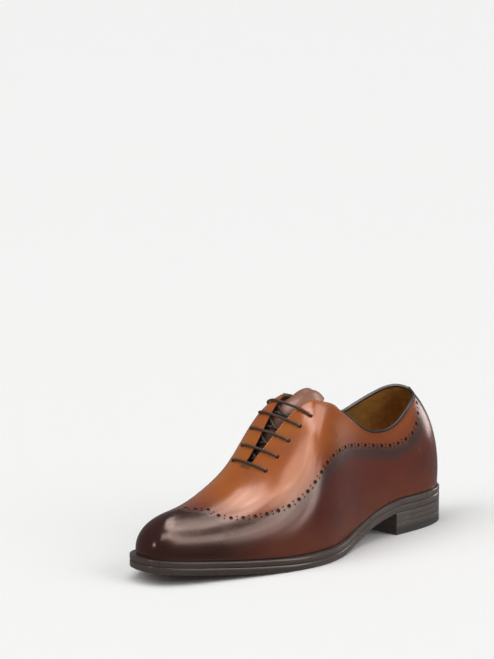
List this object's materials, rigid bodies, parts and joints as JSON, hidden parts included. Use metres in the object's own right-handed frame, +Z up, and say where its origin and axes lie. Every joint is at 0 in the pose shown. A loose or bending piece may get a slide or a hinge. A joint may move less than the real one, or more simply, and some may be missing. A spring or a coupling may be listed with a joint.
{
  "type": "lace-up dress shoe",
  "caption": "Left lace-up dress shoe with closed facings, punched detail line, bound collar, leather sole with welt and stacked heel.",
  "frame": {"origin": "middle of the footprint on the floor", "axes": "+X towards the toe, +Y towards the outer side, +Z up"},
  "size_m": [0.3052, 0.1004, 0.1243],
  "materials": {
    "upper_leather": "glossy tan calf leather burnished to dark brown along the edges",
    "trim_leather": "satin dark grey-brown leather binding",
    "tongue_leather": "satin brown leather",
    "lining_leather": "matte mustard tan lining leather",
    "sole_leather": "satin dyed and waxed sole leather",
    "heel_leather": "satin stacked leather with fine layer lines",
    "heel_rubber": "matte dark rubber",
    "lace_cotton": "round waxed cotton cord"
  },
  "bodies": {
    "root": {"upper": "upper_leather", "outsole": "sole_leather", "welt": "sole_leather", "insole": "lining_leather", "heel_top_piece": "heel_rubber", "heel_lift_1": "heel_leather", "heel_lift_2": "heel_leather", "heel_lift_3": "heel_leather", "tongue": "tongue_leather", "collar_binding": "trim_leather", "heel_tab": "trim_leather", "lace_bar_1": "lace_cotton", "lace_bar_2": "lace_cotton", "lace_bar_3": "lace_cotton", "lace_bar_4": "lace_cotton", "lace_bar_5": "lace_cotton"}
  },
  "joints": []
}
